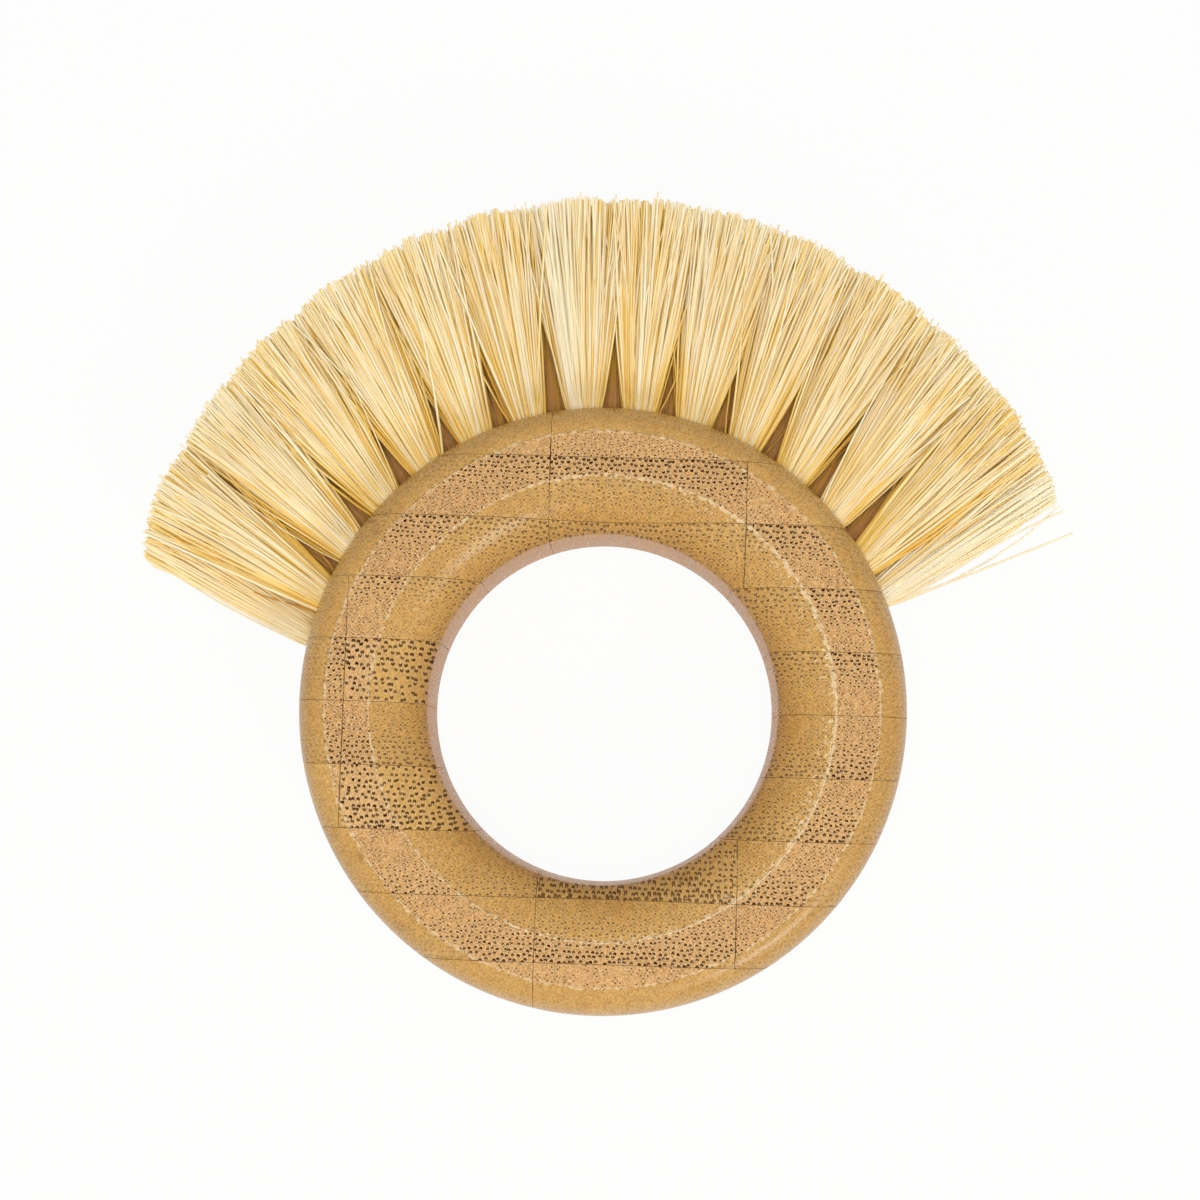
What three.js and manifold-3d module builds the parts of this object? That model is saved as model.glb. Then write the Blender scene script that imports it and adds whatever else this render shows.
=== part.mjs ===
// Ring vegetable brush: a laminated bamboo ring handle with a fan of plant-fibre tufts on its rim.
// Millimetres, +Z up. The ring lies on its back face at z = 0 and the fan points along +Y.
import * as THREE from 'three';
import { mergeVertices } from 'three/addons/utils/BufferGeometryUtils.js';
import Module from 'manifold-3d';

const wasm = await Module();
wasm.setup();

const degrees = THREE.MathUtils.degToRad;

// Ring handle: a straight wall round the finger hole, a flat face front and back, and rounded edges
const ringOuterRadius = 38;
const fingerHoleRadius = 22;
const ringThickness = 25;
const faceInnerRadius = 28.7;
const faceOuterRadius = 34.3;
const innerRoundHeight = 6.25;
const outerRoundHeight = 5;
const ringSegments = 56;
const roundSteps = 3;

// The ring's centre, placed so that the whole brush is centred on the origin
const ringCentre = new THREE.Vector3(-0.7, -13.48, 0);

// Lamination: bamboo strips run through the ring along its axis, in layers glued face to face
const laminationTurn = degrees(-5.9);
const layerPitch = 7.79;
const middleGlueLine = -0.2;
const stripWidth = 24.51;
const leftGlueLine = -31.85;
const glueGap = 0.2;

// The strips of each layer, from the fan's side down to the bottom of the ring
const outerLayer = ['left', 'middle'];
const fullLayer = ['left', 'middle', 'right'];
const holeLayer = ['edge', 'left', 'right'];
const layers = [
  outerLayer, fullLayer, fullLayer,
  holeLayer, holeLayer, holeLayer, holeLayer,
  fullLayer, fullLayer, outerLayer,
];

// Tufts: two staggered rows of drilled holes, all aimed away from a point below the ring's centre
const tuftRows = [
  { name: 'front', count: 13, pitch: degrees(10.7), side: 1 },
  { name: 'back', count: 14, pitch: degrees(10.85), side: -1 },
];
const fanTurn = degrees(-0.4);
const rowOffset = 3.1;
const fanFocusBelowCentre = 10.5;
const tuftHoleRadius = 2.3;
const tuftHoleDepth = 8;
const tuftRadius = 2.05;
const tuftSides = 8;
const fitGap = 0.3;

// Flat wire anchors: each lies in the fold of its tuft with both ends in the bamboo
const anchorThickness = 0.45;
const anchorHeight = 2;
const anchorLength = 5.6;
const foldThickness = 0.6;

// Sectors of the fan: in each one a slice of backing, buried under the rim, joins the tufts
const sectors = [
  { name: 'left', tuftCount: 7 },
  { name: 'upper_left', tuftCount: 7 },
  { name: 'upper_right', tuftCount: 6 },
  { name: 'right', tuftCount: 7 },
];
const sliceInnerRadius = 34.2;
const sliceOuterRadius = 35.2;
const sliceSegments = 3;

// Strands: each stands for a lock of fibres, opens towards its tip and ends on the trimmed outline
const strandsPerTuft = 14;
const strandSides = 3;
const strandRootRadius = 0.26;
const strandTipRadius = 0.65;
const strandRootDepth = 0.7;
const rootSpread = 1.65;
const tipSpreadAlong = 4.5;
const tipSpreadAcross = 3.9;
const rowLean = 1.2;
const aimLength = 26;
const trimRadius = 61.5;
const trimCentre = new THREE.Vector2(0.65, 3.4);
const goldenAngle = Math.PI * (3 - Math.sqrt(5));

const bambooTones = ['#c9a36b', '#bd9355', '#c59d66'].map((color) => (
  new THREE.MeshStandardMaterial({ color, roughness: 0.5, metalness: 0 })
));
const fibre = new THREE.MeshStandardMaterial({ color: '#ecd49a', roughness: 0.7, metalness: 0 });
const wire = new THREE.MeshStandardMaterial({ color: '#b8babc', roughness: 0.35, metalness: 1 });

function toSolid(geometry) {
  const bare = geometry.clone();
  bare.deleteAttribute('normal');
  bare.deleteAttribute('uv');
  const merged = mergeVertices(bare);
  return new wasm.Manifold(new wasm.Mesh({
    numProp: 3,
    vertProperties: new Float32Array(merged.attributes.position.array),
    triVerts: new Uint32Array(merged.index.array),
  }));
}

function toMesh(solid, name, material) {
  const { vertProperties, triVerts } = solid.getMesh();
  const geometry = new THREE.BufferGeometry();
  geometry.setAttribute('position', new THREE.BufferAttribute(vertProperties, 3));
  geometry.setIndex(new THREE.BufferAttribute(triVerts, 1));
  const flat = geometry.toNonIndexed();
  flat.computeVertexNormals();
  const mesh = new THREE.Mesh(flat, material);
  mesh.name = name;
  return mesh;
}

function joined(solids) {
  return solids.reduce((sum, solid) => sum.add(solid));
}

// A quarter round from the first point to the second, leaving the first along the ring's axis
function quarterRound(fromRadius, fromHeight, toRadius, toHeight) {
  return Array.from({ length: roundSteps + 1 }, (_, step) => {
    const turn = (Math.PI / 2) * (step / roundSteps);
    const radius = fromRadius + (toRadius - fromRadius) * (1 - Math.cos(turn));
    const height = fromHeight + (toHeight - fromHeight) * Math.sin(turn);
    return new THREE.Vector2(radius, height);
  });
}

function ringSolid() {
  const top = ringThickness;
  const innerTop = quarterRound(fingerHoleRadius, top - innerRoundHeight, faceInnerRadius, top);
  const outerTop = quarterRound(ringOuterRadius, top - outerRoundHeight, faceOuterRadius, top);
  const outerBottom = quarterRound(ringOuterRadius, outerRoundHeight, faceOuterRadius, 0);
  const innerBottom = quarterRound(fingerHoleRadius, innerRoundHeight, faceInnerRadius, 0);
  const profile = [...outerBottom.reverse(), ...outerTop, ...innerTop.reverse(), ...innerBottom];
  const lathe = new THREE.LatheGeometry([...profile, profile[0]], ringSegments);
  return toSolid(lathe.rotateX(Math.PI / 2));
}

// The span of a strip across its layer; the outermost strips run on past the rim
function columnSpan(column, layer) {
  const beyond = ringOuterRadius + 2;
  const middleLeft = leftGlueLine + stripWidth;
  const middleRight = middleLeft + stripWidth;
  const hasMiddle = layer.includes('middle');
  const spans = {
    edge: [-beyond, leftGlueLine],
    left: [layer.includes('edge') ? leftGlueLine : -beyond, hasMiddle ? middleLeft : 0],
    middle: [middleLeft, layer.includes('right') ? middleRight : beyond],
    right: [hasMiddle ? middleRight : 0, beyond],
  };
  return spans[column];
}

function stripCell(layerIndex, column) {
  const [left, right] = columnSpan(column, layers[layerIndex]);
  const top = middleGlueLine + (layers.length / 2 - layerIndex) * layerPitch;
  const cell = new THREE.BoxGeometry(
    right - left - glueGap,
    layerPitch - glueGap,
    ringThickness * 2,
  );
  cell.translate((left + right) / 2, top - layerPitch / 2, ringThickness / 2);
  return toSolid(cell.rotateZ(laminationTurn));
}

// A tuft's own frame: X along the rim, Y out of its hole with the rim at 0, Z along the ring's axis
function makeTuft(row, index) {
  const turn = fanTurn + ((row.count - 1) / 2 - index) * row.pitch;
  const height = ringThickness / 2 + row.side * rowOffset;
  const mouth = new THREE.Vector3(0, ringOuterRadius, height);
  mouth.applyAxisAngle(new THREE.Vector3(0, 0, 1), turn);
  const out = new THREE.Vector3(mouth.x, mouth.y + fanFocusBelowCentre, 0).normalize();
  const along = new THREE.Vector3(out.y, -out.x, 0);
  const frame = new THREE.Matrix4().makeBasis(along, out, new THREE.Vector3(0, 0, 1));
  frame.setPosition(mouth);
  const number = String(index + 1).padStart(2, '0');
  return { row, turn, frame, number };
}

function tuftCylinder(tuft, radius, bottom, top) {
  const cylinder = new THREE.CylinderGeometry(radius, radius, top - bottom, tuftSides);
  cylinder.translate(0, (top + bottom) / 2, 0);
  return toSolid(cylinder.applyMatrix4(tuft.frame));
}

function anchorBox(tuft, gap, length) {
  const box = new THREE.BoxGeometry(anchorThickness + 2 * gap, anchorHeight + 2 * gap, length);
  const bottom = fitGap - tuftHoleDepth + foldThickness + fitGap;
  box.translate(0, bottom + anchorHeight / 2, 0);
  return toSolid(box.applyMatrix4(tuft.frame));
}

// A curved plate from the first to the last tuft of a sector, as wide as the rows stand apart
function backingSlice(members, gap) {
  const gapTurn = gap / sliceInnerRadius;
  const start = Math.PI / 2 + members.at(-1).turn - gapTurn;
  const end = Math.PI / 2 + members[0].turn + gapTurn;
  const shape = new THREE.Shape();
  shape.absarc(0, 0, sliceOuterRadius + gap, start, end, false);
  shape.absarc(0, 0, sliceInnerRadius - gap, end, start, true);
  const halfWidth = rowOffset + gap;
  const plate = new THREE.ExtrudeGeometry(shape, {
    depth: 2 * halfWidth,
    bevelEnabled: false,
    curveSegments: sliceSegments,
  });
  return toSolid(plate.translate(0, 0, ringThickness / 2 - halfWidth));
}

function lengthToTrim(root, direction) {
  const fromCentre = new THREE.Vector2(root.x, root.y).sub(trimCentre);
  const flat = new THREE.Vector2(direction.x, direction.y);
  const a = flat.lengthSq();
  const b = fromCentre.dot(flat);
  const c = fromCentre.lengthSq() - trimRadius ** 2;
  return (Math.sqrt(b * b - a * c) - b) / a;
}

// A slim prism up from the origin, widening from the strand's root to its tip
function taperedPrism(length) {
  const section = new THREE.Shape();
  section.setFromPoints(Array.from({ length: strandSides }, (_, corner) => {
    const turn = (2 * Math.PI * corner) / strandSides;
    return new THREE.Vector2(Math.cos(turn), Math.sin(turn));
  }));
  const prism = new THREE.ExtrudeGeometry(section, { depth: length, bevelEnabled: false });
  const { position } = prism.attributes;
  for (let i = 0; i < position.count; i += 1) {
    const along = position.getZ(i) / length;
    const radius = THREE.MathUtils.lerp(strandRootRadius, strandTipRadius, along);
    position.setXY(i, position.getX(i) * radius, position.getY(i) * radius);
  }
  return prism;
}

// Strands keep their order from root to tip, so none of them cross
function strandSolid(tuft, index) {
  const reach = Math.sqrt((index + 0.5) / strandsPerTuft);
  const along = reach * Math.cos(index * goldenAngle);
  const across = reach * Math.sin(index * goldenAngle);
  const root = new THREE.Vector3(along * rootSpread, -strandRootDepth, across * rootSpread);
  const lean = tuft.row.side * rowLean;
  const aim = new THREE.Vector3(along * tipSpreadAlong, aimLength, across * tipSpreadAcross + lean);
  root.applyMatrix4(tuft.frame);
  const direction = aim.applyMatrix4(tuft.frame).sub(root).normalize();
  const strand = taperedPrism(lengthToTrim(root, direction));
  const upright = new THREE.Vector3(0, 0, 1);
  strand.applyQuaternion(new THREE.Quaternion().setFromUnitVectors(upright, direction));
  return toSolid(strand.translate(root.x, root.y, root.z));
}

function tuftSolid(tuft) {
  const root = tuftCylinder(tuft, tuftRadius, fitGap - tuftHoleDepth, 0);
  const fold = root.subtract(anchorBox(tuft, fitGap, 3 * tuftRadius));
  const strands = Array.from({ length: strandsPerTuft }, (_, index) => strandSolid(tuft, index));
  return joined([fold, ...strands]);
}

const tufts = tuftRows.flatMap((row) => (
  Array.from({ length: row.count }, (_, index) => makeTuft(row, index))
));

// Round the fan the two rows take turns, so each sector is a run of neighbours
const tuftsInTurn = tufts.toSorted((one, other) => other.turn - one.turn);
const sectorTufts = sectors.map(({ tuftCount }) => tuftsInTurn.splice(0, tuftCount));

// Everything that the bamboo makes room for: tuft holes, anchor slots and the buried backing
const pastRim = 3;
const sockets = joined([
  ...tufts.map((tuft) => tuftCylinder(tuft, tuftHoleRadius, -tuftHoleDepth, pastRim)),
  ...tufts.map((tuft) => anchorBox(tuft, fitGap, anchorLength + 2 * fitGap)),
  ...sectorTufts.map((members) => backingSlice(members, fitGap)),
]);

const handle = new THREE.Group();
const ring = ringSolid().subtract(sockets);
layers.forEach((columns, layerIndex) => {
  columns.forEach((column) => {
    const strip = ring.intersect(stripCell(layerIndex, column));
    const tone = bambooTones[handle.children.length % bambooTones.length];
    handle.add(toMesh(strip, `bamboo_layer_${layerIndex + 1}_${column}`, tone));
  });
});

const anchors = new THREE.Group();
tufts.forEach((tuft) => {
  const name = `tuft_anchor_${tuft.row.name}_${tuft.number}`;
  anchors.add(toMesh(anchorBox(tuft, 0, anchorLength), name, wire));
});

const bristles = new THREE.Group();
sectorTufts.forEach((members, sector) => {
  const fan = joined([backingSlice(members, 0), ...members.map(tuftSolid)]);
  bristles.add(toMesh(fan, `bristles_${sectors[sector].name}`, fibre));
});

const brush = new THREE.Group();
brush.name = 'vegetable_brush';
brush.add(handle, anchors, bristles);
brush.position.copy(ringCentre);

export default brush;
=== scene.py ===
import math
import bpy
import numpy as np
from mathutils import Matrix, Vector


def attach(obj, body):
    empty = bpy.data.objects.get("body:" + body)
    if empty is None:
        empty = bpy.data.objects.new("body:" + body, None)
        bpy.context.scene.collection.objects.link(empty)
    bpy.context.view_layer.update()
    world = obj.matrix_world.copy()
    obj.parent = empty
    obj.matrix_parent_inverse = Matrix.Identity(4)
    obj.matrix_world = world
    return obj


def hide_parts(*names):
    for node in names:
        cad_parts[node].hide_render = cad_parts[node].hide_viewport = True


# Ring vegetable brush lying on its back face, fan towards +Y.
# Sizes in the dictionaries are millimetres.
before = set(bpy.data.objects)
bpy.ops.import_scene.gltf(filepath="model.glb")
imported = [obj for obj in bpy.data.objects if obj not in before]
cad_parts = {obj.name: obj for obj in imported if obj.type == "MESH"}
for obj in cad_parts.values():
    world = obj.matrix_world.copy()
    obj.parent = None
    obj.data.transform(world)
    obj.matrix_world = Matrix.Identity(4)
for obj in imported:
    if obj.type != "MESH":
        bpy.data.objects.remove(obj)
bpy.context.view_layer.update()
mm = 0.001
print("frame loaded,", len(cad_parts), "nodes")


def linearColour(hexCode):
    parts = [int(hexCode[i:i + 2], 16) / 255 for i in (1, 3, 5)]
    linear = [c / 12.92 if c <= 0.04045 else ((c + 0.055) / 1.055) ** 2.4 for c in parts]
    return (*linear, 1.0)


# Adds one node, sets it up, links or fills its inputs and gives back its first output in use
def addNode(tree, kind, settings, inputs):
    node = tree.nodes.new("ShaderNode" + kind)
    for name, value in settings.items():
        setattr(node, name, value)
    for name, source in inputs.items():
        if isinstance(name, int):
            socket = node.inputs[name]
        else:
            socket = next(s for s in node.inputs if s.enabled and s.name == name)
        if isinstance(source, bpy.types.NodeSocket):
            tree.links.new(source, socket)
        else:
            socket.default_value = source
    return next(s for s in node.outputs if s.enabled)


def newMaterial(name):
    material = bpy.data.materials.new(name)
    material.use_nodes = True
    return material, material.node_tree, material.node_tree.nodes["Principled BSDF"]


def deselectAll():
    for item in bpy.context.selected_objects:
        item.select_set(False)


def onlySelect(item):
    deselectAll()
    item.select_set(True)
    bpy.context.view_layer.objects.active = item


# Ring handle
ring = {
    "centre": (-0.7, -13.48),
    "outerRadius": 38.0,
    "holeRadius": 22.0,
    "thickness": 25.0,
    "faceInner": 28.7,
    "faceOuter": 34.3,
    "innerRoundHeight": 6.25,
    "outerRoundHeight": 5.0,
    "shoulderDrop": 0.16,    # the rounding cutter left a small step at both edges of the flat face
    "shoulderWidth": 0.1,
    "roundSteps": 10,
    "segments": 180,
    "weldWithin": 0.002,
}

# Lamination: straight strips glued in layers, turned a little against the fan
lamination = {
    "turn": math.radians(-5.9),
    "pitch": 7.79,
    "middleLine": -0.2,
    "stripWidth": 24.51,
    "leftLine": -31.85,
    "glueGap": 0.05,
    "layerCount": 10,
    "dotShift": 3.7,         # moves the dots on from strip to strip, so that no two look the same
}

# Tuft rows: holes in the rim, aimed away from a point below the ring's centre
fan = {
    "rows": {
        "front": {"count": 13, "pitch": math.radians(10.7), "side": 1},
        "back": {"count": 14, "pitch": math.radians(10.85), "side": -1},
    },
    "turn": math.radians(-0.4),
    "rowOffset": 3.1,
    "focusBelowCentre": 10.5,
    "holeRadius": 2.3,
    "holeDepth": 8.0,
    "trimRadius": 61.5,
    "trimCentre": (0.65, 3.4),
}
sectors = {"left": 7, "upper_left": 7, "upper_right": 6, "right": 7}    # tufts in each bristle node


# Where each tuft leaves the rim: its mouth, the way out and the way along the rim
def tuftPlaces():
    places = []
    for rowName, row in fan["rows"].items():
        for i in range(row["count"]):
            turn = fan["turn"] + ((row["count"] - 1) / 2 - i) * row["pitch"]
            height = ring["thickness"] / 2 + row["side"] * fan["rowOffset"]
            rim = Vector((-math.sin(turn), math.cos(turn), 0)) * ring["outerRadius"]
            out = (rim + Vector((0, fan["focusBelowCentre"], 0))).normalized()
            mouth = rim + Vector((*ring["centre"], height))
            places.append({
                "name": f"{rowName}_{i + 1:02d}",
                "side": row["side"],
                "turn": turn,
                "mouth": mouth,
                "out": out,
                "along": Vector((out.y, -out.x, 0)),
            })
    places.sort(key=lambda place: -place["turn"])
    names = [name for name, count in sectors.items() for _ in range(count)]
    for place, name in zip(places, names):
        place["node"] = "bristles_" + name
    return places


tufts = tuftPlaces()


def quarterRound(start, end, steps):
    points = []
    for i in range(steps + 1):
        turn = math.pi / 2 * i / steps
        radius = start[0] + (end[0] - start[0]) * (1 - math.cos(turn))
        points.append((radius, start[1] + (end[1] - start[1]) * math.sin(turn)))
    return points


# The section's upper half from the hole's wall to the rim, then the same again mirrored
def sectionPoints():
    top = ring["thickness"]
    stepDown = top - ring["shoulderDrop"]
    wide = ring["shoulderWidth"]
    inner = quarterRound(
        (ring["holeRadius"], top - ring["innerRoundHeight"]),
        (ring["faceInner"] - wide, stepDown),
        ring["roundSteps"],
    )
    outer = quarterRound(
        (ring["outerRadius"], top - ring["outerRoundHeight"]),
        (ring["faceOuter"] + wide, stepDown),
        ring["roundSteps"],
    )
    upper = inner + [(ring["faceInner"], top), (ring["faceOuter"], top)] + outer[::-1]
    return upper + [(radius, top - height) for radius, height in reversed(upper)]


# The section is drawn by extruding one point along it, closed, and spun round the ring's axis
def makeRing():
    deselectAll()
    points = [
        Vector((ring["centre"][0] + radius, ring["centre"][1], height)) * mm
        for radius, height in sectionPoints()
    ]
    bpy.ops.mesh.primitive_plane_add(size=mm, location=points[0])
    blank = bpy.context.object
    blank.name = "ring_blank"
    bpy.ops.object.transform_apply(location=True)
    bpy.ops.object.mode_set(mode="EDIT")
    bpy.ops.mesh.select_all(action="SELECT")
    bpy.ops.mesh.merge(type="CENTER")
    for here, there in zip(points, points[1:]):
        bpy.ops.mesh.extrude_vertices_move(TRANSFORM_OT_translate={"value": there - here})
    bpy.ops.object.mode_set(mode="OBJECT")
    # The last point is still selected, and an edge from it to the first closes the section
    for v in blank.data.vertices:
        if (v.co - points[0]).length < ring["weldWithin"] * mm:
            v.select = True
    bpy.ops.object.mode_set(mode="EDIT")
    bpy.ops.mesh.edge_face_add()
    bpy.ops.mesh.select_all(action="SELECT")
    bpy.ops.mesh.spin(
        steps=ring["segments"],
        angle=2 * math.pi,
        center=Vector((*ring["centre"], 0)) * mm,
        axis=(0, 0, 1),
    )
    bpy.ops.mesh.select_all(action="SELECT")
    bpy.ops.mesh.remove_doubles(threshold=ring["weldWithin"] * mm)
    bpy.ops.mesh.normals_make_consistent(inside=False)
    bpy.ops.object.mode_set(mode="OBJECT")
    return blank


# All tuft holes at once: one drill per tuft, joined and cut away
def drillHoles(blank):
    drill = {"sides": 20, "pastRim": 3.0}
    deselectAll()
    drills = []
    for tuft in tufts:
        bottom = tuft["mouth"] - tuft["out"] * fan["holeDepth"]
        top = tuft["mouth"] + tuft["out"] * drill["pastRim"]
        bpy.ops.mesh.primitive_cylinder_add(
            vertices=drill["sides"],
            radius=fan["holeRadius"] * mm,
            depth=(top - bottom).length * mm,
            location=(top + bottom) / 2 * mm,
            rotation=tuft["out"].to_track_quat("Z", "Y").to_euler(),
        )
        drills.append(bpy.context.object)
    for item in drills:
        item.select_set(True)
    bpy.ops.object.join()
    cutter = bpy.context.object
    onlySelect(blank)
    cut = blank.modifiers.new("tuft_holes", "BOOLEAN")
    cut.operation = "DIFFERENCE"
    cut.object = cutter
    bpy.ops.object.modifier_apply(modifier=cut.name)
    bpy.data.meshes.remove(cutter.data)


# How each strip's end grain looks: the glue line that its dots crowd at (up or down), the dots'
# spacing and size there, how far in they shrink away, and the strip's tone from pale 0 to deep 1
up, down = 1, -1
stripLooks = {
    "bamboo_layer_1_left": (up, 0.72, 0.14, 2.0, 0.45),
    "bamboo_layer_1_middle": (down, 0.72, 0.14, 4.0, 0.4),
    "bamboo_layer_2_left": (up, 0.70, 0.22, 6.0, 0.5),
    "bamboo_layer_2_middle": (up, 0.71, 0.24, 6.5, 0.55),
    "bamboo_layer_2_right": (up, 1.06, 0.22, 0.8, 0.35),
    "bamboo_layer_3_left": (up, 0.71, 0.23, 5.5, 0.45),
    "bamboo_layer_3_middle": (up, 0.70, 0.21, 6.0, 0.5),
    "bamboo_layer_3_right": (up, 0.71, 0.24, 6.0, 0.5),
    "bamboo_layer_4_edge": (up, 0.72, 0.20, 3.5, 0.5),
    "bamboo_layer_4_left": (up, 0.73, 0.21, 3.8, 0.35),
    "bamboo_layer_4_right": (up, 0.71, 0.23, 5.5, 0.5),
    "bamboo_layer_5_edge": (up, 0.66, 0.22, 9.0, 0.5),
    "bamboo_layer_5_left": (up, 0.82, 0.26, 16.0, 0.3),
    "bamboo_layer_5_right": (up, 0.71, 0.23, 4.8, 0.55),
    "bamboo_layer_6_edge": (down, 0.69, 0.22, 6.0, 0.5),
    "bamboo_layer_6_left": (down, 0.70, 0.23, 6.0, 0.5),
    "bamboo_layer_6_right": (down, 0.71, 0.23, 5.5, 0.6),
    "bamboo_layer_7_edge": (down, 0.77, 0.18, 3.5, 0.3),
    "bamboo_layer_7_left": (down, 0.74, 0.25, 14.0, 0.2),
    "bamboo_layer_7_right": (down, 0.70, 0.23, 6.5, 0.5),
    "bamboo_layer_8_left": (down, 0.72, 0.18, 4.5, 0.5),
    "bamboo_layer_8_middle": (down, 0.70, 0.25, 10.0, 0.45),
    "bamboo_layer_8_right": (down, 0.71, 0.23, 5.5, 0.5),
    "bamboo_layer_9_left": (down, 0.70, 0.22, 6.0, 0.5),
    "bamboo_layer_9_middle": (down, 0.70, 0.23, 6.5, 0.5),
    "bamboo_layer_9_right": (down, 0.71, 0.20, 6.0, 0.55),
    "bamboo_layer_10_left": (down, 1.01, 0.22, 0.8, 0.45),
    "bamboo_layer_10_middle": (down, 1.06, 0.22, 0.8, 0.4),
}


# The span of a strip across its layer, in the lamination's own directions
def stripSpan(name):
    beyond = ring["outerRadius"] + 2
    layer, column = name.split("_")[2:]
    inLayer = [n.split("_")[3] for n in stripLooks if n.split("_")[2] == layer]
    middleLeft = lamination["leftLine"] + lamination["stripWidth"]
    middleRight = middleLeft + lamination["stripWidth"]
    left, right = -beyond, beyond
    if column == "edge":
        right = lamination["leftLine"]
    if column == "left":
        left = lamination["leftLine"] if "edge" in inLayer else -beyond
        right = middleLeft if "middle" in inLayer else 0
    if column == "middle":
        left = middleLeft
        right = middleRight if "right" in inLayer else beyond
    if column == "right":
        left = middleRight if "middle" in inLayer else 0
    upper = lamination["middleLine"]
    upper += (lamination["layerCount"] / 2 + 1 - int(layer)) * lamination["pitch"]
    return left, right, upper


def setPointAttribute(mesh, name, values):
    kind = "FLOAT" if values.ndim == 1 else "FLOAT_VECTOR"
    field = "value" if values.ndim == 1 else "vector"
    attribute = mesh.attributes.new(name, kind, "POINT")
    attribute.data.foreach_set(field, values.astype(np.float32).ravel())


# One strip: a copy of the drilled ring, kept where it lies inside the strip's cell
def cutStrip(blank, name, number):
    left, right, upper = stripSpan(name)
    lower = upper - lamination["pitch"]
    centre = Vector((*ring["centre"], 0))
    across = Vector((math.cos(lamination["turn"]), math.sin(lamination["turn"]), 0))
    upwards = Vector((-across.y, across.x, 0))
    middle = centre + across * (left + right) / 2 + upwards * (upper + lower) / 2
    middle.z = ring["thickness"] / 2
    size = Vector((right - left, upper - lower, ring["thickness"] * 2))
    bpy.ops.mesh.primitive_cube_add(
        size=1,
        location=middle * mm,
        rotation=(0, 0, lamination["turn"]),
        scale=(size - Vector((1, 1, 0)) * lamination["glueGap"]) * mm,
    )
    cell = bpy.context.object
    onlySelect(blank)
    bpy.ops.object.duplicate()
    strip = bpy.context.object
    strip.name = name + "_strip"
    strip.data.name = strip.name
    cut = strip.modifiers.new("strip_cell", "BOOLEAN")
    cut.operation = "INTERSECT"
    cut.object = cell
    bpy.ops.object.modifier_apply(modifier=cut.name)
    bpy.data.meshes.remove(cell.data)
    side, spacing, dotSize, reach, tone = stripLooks[name]
    denseLine = upper if side == up else lower
    ones = np.ones((len(strip.data.vertices), 1))
    setPointAttribute(strip.data, "stripEdges", ones * (left, right, denseLine))
    setPointAttribute(strip.data, "stripDots", ones * (side, spacing, dotSize))
    setPointAttribute(strip.data, "stripTone", ones * (reach, tone, number * lamination["dotShift"]))
    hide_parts(name)
    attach(strip, "root")
    return strip


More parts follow.
